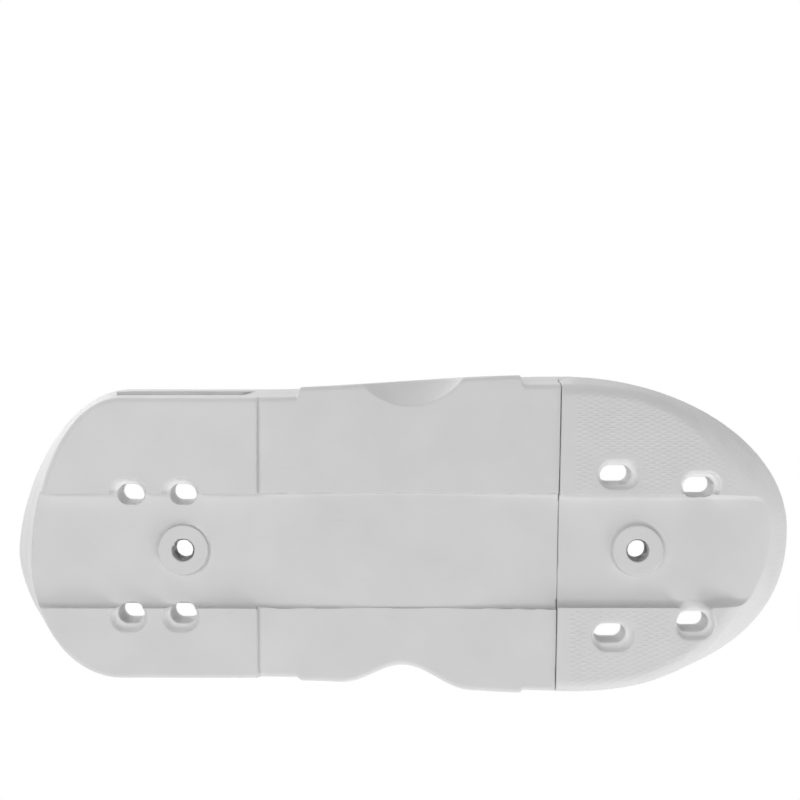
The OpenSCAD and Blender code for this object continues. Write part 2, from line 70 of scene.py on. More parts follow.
# Sizes that the frame gives
GROUND = in_mm(box_cad[0].z)
HEEL_REACH, TOE_REACH = in_mm(-box_cad[0].x), in_mm(box_cad[1].x)
MOUNTS = {mount["name"]: mount for mount in frame["record"]["mounts"]}
BOLT_X = MOUNTS["frame_bolts"]["dims"]["spacing_x_mm"] / 2
HEEL_MOUNT = MOUNTS["heel_boot_slots"]
SEAT_Z = in_mm(HEEL_MOUNT["pos_m"][2]) - GROUND
NUT_LOW, NUT_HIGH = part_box("front_frame_nut")
NUT_END_Z, NUT_TOP_Z = in_mm(NUT_LOW.z) - GROUND, in_mm(NUT_HIGH.z) - GROUND
NUT_HALF_L, NUT_HALF_W = in_mm(NUT_HIGH.x - NUT_LOW.x) / 2, in_mm(NUT_HIGH.y - NUT_LOW.y) / 2

# Outline of the rim
HEEL_OUTER, HEEL_INNER, TOE_OUTER, TOE_INNER = 57.2, 51.8, 62.0, 56.6
HEEL_ROUND, HEEL_LEAN, HEEL_TIP_Y, HEEL_SHARP = 44.0, 12.5, 5.0, 1.2
TOE_ROUND, TOE_LEAN, TOE_TIP_Y = 87.0, 23.4, -4.0
TOE_FOOT_FULL, TOE_OUTER_FULL, TOE_INNER_FULL = 2.45, 1.95, 2.3
HEEL_X, TOE_X = HEEL_ROUND - HEEL_REACH, round(TOE_REACH - TOE_ROUND, 3)

# Walls, with the slopes of the heel and toe walls at their ends
WALL, WALL_H, OUTER_LEAN, INNER_LEAN = 3.6, 30.0, 1.8, 5.5
HEEL_SLOPE, TOE_SLOPE, LEAST_STEEP = 0.34, 0.62, 0.0002
RIM_Z, RIM_EDGE = 29.95, 0.5
HEEL_RISE, HEEL_RISE_X, HEEL_RISE_L = 4.4, 78.0, 62.0
SEAM_RISE, TOE_RISE, TOE_INNER_RISE = 1.0, 6.4, 3.0
RIM_TURN_Y, RIM_TURN_L = -14.0, 20.0
OUTER_EDGE, INNER_EDGE = 1.8, 1.5
TOE_EDGE, TOE_EDGE_LOSS, TOE_EDGE_START = 4.4, 0.66, 0.6
SWEEP_X, SWEEP_RATE = 104.0, 0.018357
INNER_ROUND, TOP_EDGE = 2.2, 0.4

# Arch, side panels, hollow and grind groove
HEEL_STEP, STEP_RUN, FOOT_LIFT = 55.5, 0.3, 0.02
ARCH_REAR_Z, ARCH_MID_Z, ARCH_FRONT_Z = 2.3, 3.9, 1.4
PANEL_FOOT, PANEL_TOP, PANEL_KNEE_Z, PANEL_RAMP = 39.5, 21.7, 8.5, 1.9
PANEL_FOOT_PROUD, PANEL_TOP_PROUD, INNER_PANEL_PROUD = 3.55, 0.8, 1.2
HOLLOW_X, HOLLOW_HALF, HOLLOW_DEPTH = -2.0, 24.0, 8.0
GROOVE_R, GROOVE_Y, GROOVE_Z, GROOVE_EDGE = 24.6, -76.1, -3.3, 0.5
GROOVE_INSET, GROOVE_FILLET = 1.6, 1.5

# Joint between the plates, finer across the channel
SEAM_X, SEAM_GAP, SEAM_END, SEAM_EDGE = 53.2, 0.6, 0.4, 0.25
SEAM_FINE, SEAM_FINE_Y, SEAM_FINE_L = 0.15, 19.0, 2.0
SEAM_BEND_Z, SEAM_BEND_R, SEAM_BEND_H = 16.0, 20.6, 19.0
SEAM_SKEW, SEAM_BACK = 0.016, 0.1

# Frame channel and its floor
CHANNEL_Z, CHANNEL_HALF, SKIN, FLOOR_Z = 4.5, 20.4, 3.5, 8.0
FLOOR_HALF, FLOOR_RAMP = 25.5, 2.5
CHANNEL_MORE, CHANNEL_MORE_INNER, CHANNEL_MORE_L = 0.3, 0.5, 10.0
CHANNEL_EDGE, CHANNEL_FILLETS = 0.2, (0.5, 1.6)
RUN_X, RUN_L, RUN_RISE, RUN_SLOPE, RUN_MOST = 99.96, 34.0, 17.5, 1.03, 1.2
TOE_CHANNEL_FILLET, TOE_CHANNEL_EDGE = 2.4, 0.25
TOE_CHANNEL_OUTER, TOE_CHANNEL_INNER = -0.18, 0.05

# Bosses and seats of the frame nuts
FIT = 0.05
BOSS_R, BOSS_Z, BOSS_EDGE, BOLT_HOLE_R, BOLT_HOLE_EDGE = 9.1, 2.5, 0.2, 4.1, 0.25
CONE_SLOPE, CONE_LOW_Z, CONE_HIGH_Z, CONE_SCALE, CONE_EDGE, CONE_FILLET = 0.4, 2.0, 6.0, 0.93, 0.25, 0.7
POCKET_Z, POCKET_END_Z = 11.5, 60.0
NUT_R, NUT_CORNER, NUT_EDGE = 6.0, 1.2, 0.5
PAD_HALF_L, PAD_HALF_W = NUT_HALF_L + WALL, NUT_HALF_W + WALL
THREAD_R, THREAD_H, THREAD_PITCH, THREAD_MOUTH, THREAD_SCALE = 3.4, 0.6, 1.25, 0.5, 0.75

# Slots of the boot bolts and the recesses round them
SLOT_R, SLOT_DRAFT, SLOT_DRAFT_H, SLOT_EDGE = HEEL_MOUNT["dims"]["hole_r_mm"], 0.03, 14.0, 0.3
TUBE_T, DISH_RUN, DISH_SHIFT = 2.6, 1.8, 0.7
DISH_SLOPE, DISH_SLOPE_H, DISH_FILLET, DISH_EDGE = 0.4, 5.0, 2.2, 0.5
NOTCH_X, NOTCH_HALF, NOTCH_START_Y, NOTCH_Y, NOTCH_FILLET = 103.3, 6.2, 16.0, 26.1, 0.8
HEEL_SLOT_HALF, TOE_SLOT_HALF = round(HEEL_MOUNT["dims"]["slot_length_mm"] / 2 - SLOT_R, 3), 2.15
SLOT_SHIFT_Y, TOE_SLOT_SKEW = 1.5, 1.8
TOE_SLOT_ROWS = ((73.5, 57.6), (103.5, 49.2))


def heel_slots():
    """Middles of the heel's boot bolt slots."""
    x, y, _ = map(in_mm, HEEL_MOUNT["pos_m"])
    dx, dy = (HEEL_MOUNT["dims"][key] / 2 for key in ("spacing_x_mm", "spacing_y_mm"))
    return [(round(x + a * dx, 3), round(y + b * dy, 3)) for a in (1, -1) for b in (-1, 1)]


def toe_slots():
    """Middles of the toe's boot bolt slots, in a skew trapezoid."""
    return [(round(x - side * TOE_SLOT_SKEW / 2, 3), round(SLOT_SHIFT_Y + side * span / 2, 3))
            for x, span in TOE_SLOT_ROWS for side in (-1, 1)]


HEEL_SLOTS, TOE_SLOTS = heel_slots(), toe_slots()

# Ribs on the boot side
RIB, RIB_Y, RIB_XS, TOE_RIB_X, TOE_RIB_END = 1.3, 34.0, (-39.0, -13.0, 13.0, 39.0), 92.5, 118.9
BOOT_SIDE_INSET, BOOT_SIDE_FILLET = 1.4, 1.0

# Lap of the main plate over the toe plate's floor, with its screws and inserts
LAP_START, LAP_END, LAP_Z, LAP_TOP_Z = 52.8, 64.7, 8.05, 11.45
LAP_SIDE, LAP_GAP, LAP_FILLET = 3.0, 0.4, 0.3
LAP_BACK = RIB_XS[-1]
LAP_OUTER, LAP_INNER = TOE_OUTER - WALL - LAP_SIDE, TOE_INNER - WALL - LAP_SIDE
SCREW_X, SCREW_YS, SCREW_R, SCREW_GAP, SCREW_HOLE_Z = 59.2, (-42.0, -29.0, 29.0, 42.0), 2.0, 0.15, 7.5
HEAD_R, HEAD_H, HEAD_EDGE, SHANK_INTO_HEAD = 3.8, 2.6, 0.55, 1.0
SOCKET_HALF, SOCKET_FLOOR, SOCKET_MOUTH_R, SOCKET_MOUTH_H = 1.25, 1.3, 1.6, 0.15
SOCKET_MOUTH_REACH, SOCKET_MOUTH_FLOOR = 3.0, 2.2
INSERT_R, INSERT_L = 2.9, 5.4

# Blank badge in its pocket on the outer heel wall
BADGE_X, BADGE_Z, BADGE_L, BADGE_H, BADGE_SLANT = -82.8, 17.4, 23.5, 5.8, 3.0
BADGE_LOW, BADGE_TOP, BADGE_CORNER, BADGE_EDGE = -0.8, 0.4, 0.8, 0.12
BADGE_RIB_PITCH, BADGE_RIB_SLANT, BADGE_RIB_H, BADGE_FIELD, BADGE_BORDER = 2.2, 0.45, 0.22, 0.3, 1.15
BADGE_RIB_START, BADGE_RIB_RAMP, BADGE_BORDER_RAMP, BADGE_SCALE = 0.22, 0.08, 0.25, 0.8
BADGE_END = BADGE_L + BADGE_SLANT / 2

# Knurl of the toe, with its clear margins, and the parting line
KNURL_L, KNURL_W, KNURL_H, KNURL_BORDER = 4.05, 1.72, 0.14, 2.9
KNURL_SINK, KNURL_BLUNT, KNURL_EDGE, KNURL_ROOM, KNURL_TOLERANCE = 0.03, 0.01, 0.3, 0.6, 0.05
KNURL_WING_ROOM = 0.5
KNURL_RIM_ROOM, KNURL_FOOT_ROOM, KNURL_CHANNEL_ROOM, KNURL_CHANNEL_Z = 1.6, 1.4, 1.0, 23.5
TRACK_RIM_Z, TRACK_PAST = 34.0, 4.0
LINE_Z = 17.0

# Stretches that the knurl is laid over: along and across the wings, round and up the wall
WING_STRETCH = (54, 130, -60, 56)
WALL_STRETCH = (-120, 120, 1.6, 38)

# Depth of the skin that shows the parting line, and the borders of the recesses that are painted lighter, a
# painted glow, with their runs
OUTSIDE_DEPTH = 1.6
PAINTED_GLOW_RUN, PAINTED_GLOW_CHANNEL_ROOM, PAINTED_GLOW_CHANNEL_RUN = 0.3, 0.6, 1.2
PAINTED_GLOW_LOW_Z, PAINTED_GLOW_ABOVE, PAINTED_GLOW_ABOVE_RUN = 0.2, 0.6, 0.4

# Grids that the shapes are meshed on: low corner, high corner, step and share of the faces kept
MAIN_GRID = ((-149.2, -64.0, 0.0), (65.2, 57.2, 34.6), 0.6, 0.2)
TOE_GRID = ((53.6, -62.4, 0.0), (143.8, 57.0, 38.2), 0.5, 0.25)
NUT_GRID = ((-NUT_HALF_L, -NUT_HALF_W, NUT_END_Z), (NUT_HALF_L, NUT_HALF_W, NUT_TOP_Z), 0.25, 0.3)
SCREW_GRID = ((-HEAD_R, -HEAD_R, FLOOR_Z - INSERT_L), (HEAD_R, HEAD_R, LAP_TOP_Z + HEAD_H), 0.25, 0.3)
BADGE_GRID = ((-BADGE_END, -BADGE_H, BADGE_LOW), (BADGE_END, BADGE_H, BADGE_TOP), 0.22, 0.4)


def mix(a, b, t):
    return a + (b - a) * t


def smooth(t):
    t = np.clip(t, 0, 1)
    return t * t * (3 - 2 * t)


def both(a, b, r):
    """Overlap of two shapes, with its edge rounded."""
    return np.minimum(np.maximum(a, b), -r) + np.hypot(np.maximum(a + r, 0), np.maximum(b + r, 0))


def either(a, b, r):
    """Union of two shapes, with a fillet between them."""
    return -both(-a, -b, r)


def half_widths(x):
    """Half widths of the rim on the outer and the inner side."""
    t = smooth((x + HEEL_STEP) / (SEAM_X + HEEL_STEP))
    return mix(HEEL_OUTER, TOE_OUTER, t), mix(HEEL_INNER, TOE_INNER, t)


def rims(x):
    """Height of the rim on the outer and the inner side."""
    toe = np.clip((x - SEAM_X) / (TOE_REACH - SEAM_X), 0, 1)
    heel_rim = RIM_Z + HEEL_RISE * smooth((-x - HEEL_RISE_X) / HEEL_RISE_L)
    arch_rim = RIM_Z + SEAM_RISE * np.clip(x / SEAM_X, 0, 1)
    rim = np.where(x < 0, heel_rim, arch_rim) + TOE_RISE * toe
    return rim, rim + TOE_INNER_RISE * np.sin(np.pi * toe)


def foot(x):
    """Height of the main plate's underside."""
    rear = mix(ARCH_MID_Z, ARCH_REAR_Z, (x / HEEL_STEP) ** 2)
    front = mix(ARCH_MID_Z, ARCH_FRONT_Z, (x / SEAM_X) ** 2)
    return FOOT_LIFT + np.where(x < 0, rear, front) * np.clip((x + HEEL_STEP) / STEP_RUN, 0, 1)


def seam(y, z):
    """Place along X of the joint between the plates."""
    rise = np.clip(z - SEAM_BEND_Z, 0, SEAM_BEND_H)
    return SEAM_X + SEAM_BEND_R - np.sqrt(SEAM_BEND_R ** 2 - rise * rise) - SEAM_SKEW * y - SEAM_BACK


def seam_fineness(y):
    """How much closer and sharper the joint is, most across the channel."""
    return SEAM_FINE * smooth((SEAM_FINE_Y - np.abs(y)) / SEAM_FINE_L)


def main_wall(x, y, z, low, panels):
    """Distance out of the main plate's side walls."""
    rim, _ = rims(x)
    up = (z - low) / (rim - low)
    outer, inner = half_widths(x)
    outer = outer - OUTER_LEAN * (1 - up)
    inner = inner - INNER_LEAN * (1 - up)
    if panels:
        half = mix(PANEL_FOOT, PANEL_TOP, np.clip((z - PANEL_KNEE_Z) / (rim - PANEL_KNEE_Z), 0, 1))
        on = smooth((half + PANEL_RAMP - np.abs(x)) / PANEL_RAMP)
        outer = outer + on * mix(PANEL_FOOT_PROUD, PANEL_TOP_PROUD, np.clip(up, 0, 1))
        inner = inner + on * INNER_PANEL_PROUD
    bell = np.clip(np.abs(x - HOLLOW_X) / HOLLOW_HALF, 0, 1)
    inner = inner - HOLLOW_DEPTH / 2 * (1 + np.cos(np.pi * bell))
    side = np.maximum(-y - outer, y - inner)
    length = HEEL_ROUND - HEEL_LEAN * (1 - up)
    u = np.maximum(HEEL_X - x, 0) / length
    p = 2 / mix(1, HEEL_SHARP, np.clip(up, 0, 1))
    width = np.where(y < HEEL_TIP_Y, outer + HEEL_TIP_Y, inner - HEEL_TIP_Y)
    v = np.abs(y - HEEL_TIP_Y) / width
    value = u * u + v ** p - 1
    along = (2 * u / length) ** 2 * (1 + (HEEL_SLOPE * u) ** 2)
    steep = along + (p * v ** (p - 1) / width) ** 2
    heel = value / np.sqrt(np.maximum(steep, LEAST_STEEP))
    return np.where(x < HEEL_X, heel, side)


def sweep(x):
    """Height and slope of the toe plate's underside."""
    past = np.maximum(x - SWEEP_X, 0)
    return SWEEP_RATE * past * past, 2 * SWEEP_RATE * past


def toe_wall(x, y, z):
    """Distance out of the toe plate's walls, height of the rim and rounding at the foot."""
    rim_outer, rim_inner = rims(x)
    rim = mix(rim_outer, rim_inner, smooth((y - RIM_TURN_Y) / RIM_TURN_L))
    up = z / rim
    outer, inner = half_widths(np.minimum(x, TOE_X))
    outer = outer - OUTER_LEAN * (1 - up)
    inner = inner - INNER_LEAN * (1 - up)
    length = TOE_ROUND - TOE_LEAN * (1 - up)
    u = np.maximum(x - TOE_X, 0) / length
    on_outer = y < TOE_TIP_Y
    n = mix(TOE_FOOT_FULL, np.where(on_outer, TOE_OUTER_FULL, TOE_INNER_FULL), np.clip(up, 0, 1))
    width = np.where(on_outer, outer + TOE_TIP_Y, inner - TOE_TIP_Y)
    v = np.abs(y - TOE_TIP_Y) / width
    value = u ** n + v ** n - 1
    along = n * u ** (n - 1) / length
    steep = along ** 2 * (1 + (TOE_SLOPE * u) ** 2) + (n * v ** (n - 1) / width) ** 2
    round_end = value / np.sqrt(np.maximum(steep, LEAST_STEEP))
    side = np.maximum(-y - outer, y - inner)
    ahead = np.clip((u - TOE_EDGE_START) / (1 - TOE_EDGE_START), 0, 1)
    return np.where(x < TOE_X, side, round_end), rim, TOE_EDGE * (1 - TOE_EDGE_LOSS * ahead ** 2)


def slot_distance(x, y, spots, half):
    """Distance in plan from the middle lines of the boot bolt slots."""
    out = None
    for sx, sy in spots:
        d = np.hypot(np.maximum(np.abs(x - sx) - half, 0), y - sy)
        out = d if out is None else np.minimum(out, d)
    return out


def block(x, y, z, low, high):
    """Distance from an upright box."""
    d = np.maximum(np.maximum(low[0] - x, x - high[0]), np.maximum(low[1] - y, y - high[1]))
    return np.maximum(d, np.maximum(low[2] - z, z - high[2]))


def cut_nut_seat(s, x, y, z, bx):
    """Takes a frame nut's pocket, barrel hole and bolt hole out of a shape."""
    away = np.hypot(x - bx, y)
    half_l, half_w = NUT_HALF_L + FIT, NUT_HALF_W + FIT
    pocket = block(x, y, z, (bx - half_l, -half_w, POCKET_Z), (bx + half_l, half_w, POCKET_END_Z))
    s = np.maximum(s, -pocket)
    s = np.maximum(s, -np.maximum(away - NUT_R - FIT, NUT_END_Z - z))
    return both(s, BOLT_HOLE_R - away, BOLT_HOLE_EDGE)


def dish_distance(x, y, spots, half):
    """Distance in plan from the middle lines of the recesses round the slots."""
    moved = [(sx + math.copysign(DISH_SHIFT, sx), sy + math.copysign(DISH_SHIFT, sy)) for sx, sy in spots]
    return slot_distance(x, y, moved, half)


def dish_plan(x, y, spots, half):
    """Distance in plan out of the recesses, with the notch that opens one of them to the channel."""
    plan = dish_distance(x, y, spots, half) - SLOT_R - DISH_RUN
    if spots is TOE_SLOTS:
        notch = np.maximum(np.abs(x - NOTCH_X) - NOTCH_HALF, np.maximum(NOTCH_START_Y - y, y - NOTCH_Y))
        plan = either(plan, notch, NOTCH_FILLET)
    return plan


def cut_boot_slots(s, x, y, z, spots, half):
    """Takes the boot bolt slots and their recesses out of a shape."""
    plan = dish_plan(x, y, spots, half)
    dish = both(plan + DISH_SLOPE * np.clip(z, 0, DISH_SLOPE_H), z - CHANNEL_Z, DISH_FILLET)
    s = both(s, -dish, DISH_EDGE)
    bore = SLOT_R - SLOT_DRAFT * np.clip(z - CHANNEL_Z, 0, SLOT_DRAFT_H)
    return both(s, bore - slot_distance(x, y, spots, half), SLOT_EDGE)


def boot_side(x, y, z, shape, ribs, spots, half, bx):
    """Ribs, slot tubes, recess collars and nut pad that stand on the boot side."""
    tubes = slot_distance(x, y, spots, half) - SLOT_R - TUBE_T
    raised = both(np.minimum(ribs, tubes), z - SEAT_Z, TOP_EDGE)
    pad_plan = np.maximum(np.abs(x - bx) - PAD_HALF_L, np.abs(y) - PAD_HALF_W)
    pad = both(pad_plan, z - NUT_TOP_Z, TOP_EDGE)
    collar_plan = dish_distance(x, y, spots, half) - SLOT_R - DISH_RUN - WALL
    collar = both(collar_plan, z - FLOOR_Z, TOP_EDGE)
    return np.maximum(np.minimum(np.minimum(raised, collar), pad), shape + BOOT_SIDE_INSET)


def main_body(x, y, z):
    """The main plate's outer form, filled."""
    low = foot(x)
    rim, _ = rims(x)
    edge = np.where(y < 0, OUTER_EDGE, INNER_EDGE)
    return both(both(main_wall(x, y, z, low, True), low - z, edge), z - rim, RIM_EDGE)


def main_ribs(x, y):
    """Distance in plan from the main plate's ribs."""
    cross = np.abs(x + HEEL_STEP)
    for rx in RIB_XS:
        cross = np.minimum(cross, np.abs(x - rx))
    sides = np.maximum(np.abs(np.abs(y) - RIB_Y) - RIB, np.maximum(HEEL_X - x, x - LAP_BACK))
    middle = np.maximum(np.abs(y) - RIB, np.maximum(NUT_HALF_L - BOLT_X - x, x - LAP_BACK))
    return np.minimum(np.minimum(cross - RIB, sides), middle)


def lap_tongue(x, y, z):
    """The main plate's tongue on the toe plate's floor, clear of the toe's tubes."""
    tongue = block(x, y, z, (LAP_START, -LAP_OUTER, LAP_Z), (LAP_END, LAP_INNER, LAP_TOP_Z))
    room = SLOT_R + TUBE_T + LAP_GAP
    return np.maximum(tongue, room - slot_distance(x, y, TOE_SLOTS, TOE_SLOT_HALF))


def badge_pocket(x, y, z):
    """The pocket in the outer heel wall that holds the badge."""
    out = -y - HEEL_OUTER + OUTER_LEAN - z * (OUTER_LEAN / WALL_H)
    shift = (z - BADGE_Z) * BADGE_SLANT / (2 * BADGE_H)
    ends = np.abs(x - BADGE_X - shift) - BADGE_L - FIT
    return np.maximum(np.maximum(ends, np.abs(z - BADGE_Z) - BADGE_H - FIT), BADGE_LOW - out)


def main_plate(x, y, z):
    """The heel and arch moulding."""
    low = foot(x)
    base = main_wall(x, y, z, low, False)
    shape = main_body(x, y, z)
    floor = mix(low + WALL, FLOOR_Z, smooth((FLOOR_HALF - np.abs(y)) / FLOOR_RAMP))
    floor = np.where(x > LAP_BACK, LAP_TOP_Z, floor)
    s = both(shape, -both(base + WALL, floor - z, INNER_ROUND), TOP_EDGE)
    inside = boot_side(x, y, z, shape, main_ribs(x, y), HEEL_SLOTS, HEEL_SLOT_HALF, -BOLT_X)
    s = either(s, inside, BOOT_SIDE_FILLET)
    ball = np.sqrt(x * x + (y - GROOVE_Y) ** 2 + (z - GROOVE_Z) ** 2)
    s = either(s, np.maximum(ball - GROOVE_R - WALL, shape + GROOVE_INSET), GROOVE_FILLET)
    inner_more = CHANNEL_MORE_INNER * smooth((x + HEEL_STEP) / CHANNEL_MORE_L)
    half = CHANNEL_HALF + CHANNEL_MORE + np.where(y > 0, inner_more, 0)
    fillet = np.clip(CHANNEL_Z - low, *CHANNEL_FILLETS)
    s = both(s, -both(np.abs(y) - half, z - CHANNEL_Z, fillet), CHANNEL_EDGE)
    boss = both(np.hypot(x + BOLT_X, y) - BOSS_R, np.maximum(BOSS_Z - z, z - FLOOR_Z), BOSS_EDGE)
    s = either(s, boss, BOSS_EDGE)
    fine = seam_fineness(y)
    s = both(s, x - seam(y, z) - SEAM_END - fine, SEAM_EDGE - fine)
    s = either(s, lap_tongue(x, y, z), LAP_FILLET)
    s = both(s, GROOVE_R - ball, GROOVE_EDGE)
    s = cut_nut_seat(s, x, y, z, -BOLT_X)
    s = cut_boot_slots(s, x, y, z, HEEL_SLOTS, HEEL_SLOT_HALF)
    for sy in SCREW_YS:
        hole = SCREW_R + SCREW_GAP - np.hypot(x - SCREW_X, y - sy)
        s = np.maximum(s, np.minimum(hole, z - SCREW_HOLE_Z))
    return np.maximum(s, -badge_pocket(x, y, z))


def toe_body(x, y, z):
    """The toe plate's outer form, filled, under the knurl."""
    wall, rim, edge = toe_wall(x, y, z)
    low, slope = sweep(x)
    under = (low + KNURL_H - z) / np.sqrt(1 + slope * slope)
    return both(both(wall, under, edge), z - rim, RIM_EDGE)


def toe_ribs(x, y):
    """Distance in plan from the toe plate's ribs."""
    ends = np.maximum(BOLT_X + NUT_HALF_L - x, x - TOE_RIB_END)
    return np.minimum(np.abs(x - TOE_RIB_X), np.maximum(np.abs(y), ends + RIB)) - RIB


def toe_plate(x, y, z):
    """The toe moulding, without its knurl."""
    wall, _, edge = toe_wall(x, y, z)
    low, _ = sweep(x)
    shape = toe_body(x, y, z)
    run = np.clip((x - RUN_X) / RUN_L, 0, RUN_MOST)
    over = np.clip((x - RUN_X + SKIN) / RUN_L, 0, RUN_MOST)
    skin = FLOOR_Z + RUN_RISE * over * over
    floor = mix(low + WALL, skin, smooth((FLOOR_HALF - np.abs(y)) / FLOOR_RAMP))
    floor = np.where(x < LAP_END + WALL, np.maximum(floor, FLOOR_Z), floor)
    s = both(shape, -both(wall + WALL, floor - z, np.maximum(edge - WALL, INNER_ROUND)), TOP_EDGE)
    inside = boot_side(x, y, z, shape, toe_ribs(x, y), TOE_SLOTS, TOE_SLOT_HALF, BOLT_X)
    s = either(s, inside, BOOT_SIDE_FILLET)
    half = CHANNEL_HALF + low * np.where(y < 0, TOE_CHANNEL_OUTER, TOE_CHANNEL_INNER)
    top = (z - CHANNEL_Z - RUN_RISE * run * run) / np.sqrt(1 + (RUN_SLOPE * run) ** 2)
    s = both(s, -both(np.abs(y) - half, top, TOE_CHANNEL_FILLET), TOE_CHANNEL_EDGE)
    flare = CONE_SLOPE * (np.clip(z, CONE_LOW_Z, CONE_HIGH_Z) - BOSS_Z)
    cone = (np.hypot(x - BOLT_X, y) - BOSS_R - flare) * CONE_SCALE
    s = either(s, both(cone, np.maximum(BOSS_Z - z, z - FLOOR_Z), CONE_EDGE), CONE_FILLET)
    s = both(s, seam(y, z) + SEAM_GAP - x, SEAM_EDGE - seam_fineness(y))
    s = cut_nut_seat(s, x, y, z, BOLT_X)
    s = cut_boot_slots(s, x, y, z, TOE_SLOTS, TOE_SLOT_HALF)
    for sy in SCREW_YS:
        hole = np.hypot(x - SCREW_X, y - sy) - INSERT_R - FIT
        s = np.maximum(s, -np.maximum(hole, FLOOR_Z - INSERT_L - FIT - z))
    return s


def frame_nut(x, y, z):
    """A frame nut about its own axis, with the thread cut in its bore."""
    away = np.hypot(x, y)
    plan = both(np.abs(x) - NUT_HALF_L, np.abs(y) - NUT_HALF_W, NUT_CORNER)
    plate = both(plan, np.maximum(POCKET_Z - z, z - NUT_TOP_Z), TOP_EDGE)
    barrel = both(away - NUT_R, np.maximum(NUT_END_Z - z, z - NUT_TOP_Z), NUT_EDGE)
    turn = (z / THREAD_PITCH - np.arctan2(y, x) / (2 * np.pi)) % 1
    bore = THREAD_R + THREAD_H * np.abs(2 * turn - 1)
    mouth = THREAD_R + THREAD_H + THREAD_MOUTH - np.minimum(z - NUT_END_Z, NUT_TOP_Z - z)
    return np.maximum(np.minimum(plate, barrel), (np.maximum(bore, mouth) - away) * THREAD_SCALE)


def lap_screw(x, y, z):
    """A cap screw about its own axis."""
    away = np.hypot(x, y)
    up = z - LAP_TOP_Z
    head = both(away - HEAD_R, np.maximum(-up, up - HEAD_H), HEAD_EDGE)
    shank = np.maximum(away - SCREW_R, np.maximum(FLOOR_Z - INSERT_L - z, up - SHANK_INTO_HEAD))
    hexagon = np.abs(y)
    for angle in (math.pi / 3, -math.pi / 3):
        hexagon = np.maximum(hexagon, np.abs(x * math.sin(angle) + y * math.cos(angle)))
    socket = np.maximum(hexagon - SOCKET_HALF, SOCKET_FLOOR - up)
    cone = away - SOCKET_MOUTH_R - np.maximum(up - HEAD_H + SOCKET_MOUTH_H, -SOCKET_MOUTH_REACH)
    mouth = np.maximum(cone, SOCKET_MOUTH_FLOOR - up)
    return np.maximum(np.minimum(head, shank), -np.minimum(socket, mouth))


def badge(x, y, z):
    """The blank badge lying flat: a raised border round a field of slanted ribs."""
    slanted = x - y * BADGE_SLANT / (2 * BADGE_H)
    plan = both(np.abs(slanted) - BADGE_L, np.abs(y) - BADGE_H, BADGE_CORNER)
    ribs = np.abs((slanted - y * BADGE_RIB_SLANT) / BADGE_RIB_PITCH % 1 - 0.5)
    field = BADGE_TOP - BADGE_FIELD + BADGE_RIB_H * smooth((ribs - BADGE_RIB_START) / BADGE_RIB_RAMP)
    top = mix(field, BADGE_TOP, smooth((plan + BADGE_BORDER) / BADGE_BORDER_RAMP))
    return both(plan, np.maximum((z - top) * BADGE_SCALE, BADGE_LOW - z), BADGE_EDGE)


def gradient(shape, p, step=0.06):
    """Distances at some points and the way in which they grow."""
    x, y, z = p.T
    d = shape(x, y, z)
    rises = [shape(x + step, y, z) - shape(x - step, y, z),
             shape(x, y + step, z) - shape(x, y - step, z),
             shape(x, y, z + step) - shape(x, y, z - step)]
    return d, np.stack(rises, axis=1) / (2 * step)


def normals_of(shape, p):
    _, g = gradient(shape, p)
    return g / np.maximum(np.linalg.norm(g, axis=1, keepdims=True), 1e-6)


def net(shape, low, high, step):
    """Closed mesh of a shape, as points and four-cornered faces, from a grid of its distances."""
    margin, slab = 1.5 * step, 40
    axes = [np.arange(a - margin, b + margin, step, dtype=np.float32) for a, b in zip(low, high)]
    n = [len(a) for a in axes]
    field = np.empty(n, np.float32)
    for i in range(0, n[0], slab):
        part = axes[0][i:i + slab, None, None]
        field[i:i + slab] = shape(part, axes[1][None, :, None], axes[2][None, None, :])
    within = field < 0
    count = np.zeros([k - 1 for k in n], np.uint8)
    corners = [(i, j, k) for i in (0, 1) for j in (0, 1) for k in (0, 1)]
    for i, j, k in corners:
        count += within[i:n[0] - 1 + i, j:n[1] - 1 + j, k:n[2] - 1 + k]
    cells = np.argwhere((count > 0) & (count < len(corners)))
    values = {c: field[cells[:, 0] + c[0], cells[:, 1] + c[1], cells[:, 2] + c[2]] for c in corners}
    total = np.zeros((len(cells), 3), np.float32)
    hits = np.zeros(len(cells), np.float32)
    for a in corners:
        for axis in range(3):
            if a[axis] == 0:
                b = tuple(1 if m == axis else a[m] for m in range(3))
                va, vb = values[a], values[b]
                cross = (va < 0) != (vb < 0)
                t = np.where(cross, va / np.where(cross, va - vb, 1), 0)
                place = np.tile(np.array(a, np.float32), (len(cells), 1))
                place[:, axis] = t
                total += np.where(cross[:, None], place, 0)
                hits += cross
    points = (cells + total / hits[:, None]) * step + np.array([a[0] for a in axes], np.float32)
    number = np.full(count.shape, -1, np.int32)
    number[tuple(cells.T)] = np.arange(len(cells))
    return points, np.concatenate([crossing_faces(within, number, axis) for axis in range(3)])


def crossing_faces(within, number, axis):
    """Faces across the grid lines along one axis that pass through the surface."""
    b, c = (axis + 1) % 3, (axis + 2) % 3
    first = [slice(1, -1)] * 3
    first[axis] = slice(0, -1)
    second = list(first)
    second[axis] = slice(1, None)
    start, end = within[tuple(first)], within[tuple(second)]
    where = np.argwhere(start != end)
    leaving = start[tuple(where.T)]
    where = where + 1
    where[:, axis] -= 1
    ring = []
    for db, dc in ((-1, -1), (0, -1), (0, 0), (-1, 0)):
        cell = where.copy()
        cell[:, b] += db
        cell[:, c] += dc
        ring.append(number[tuple(cell.T)])
    quads = np.stack(ring, axis=1)
    quads[~leaving] = quads[~leaving][:, ::-1]
    return quads


def linked(name, mesh):
    obj = bpy.data.objects.new(name, mesh)
    bpy.context.scene.collection.objects.link(obj)
    return obj


def points_of(mesh):
    co = np.empty(len(mesh.vertices) * 3, np.float32)
    mesh.vertices.foreach_get("co", co)
    return co.reshape(-1, 3)


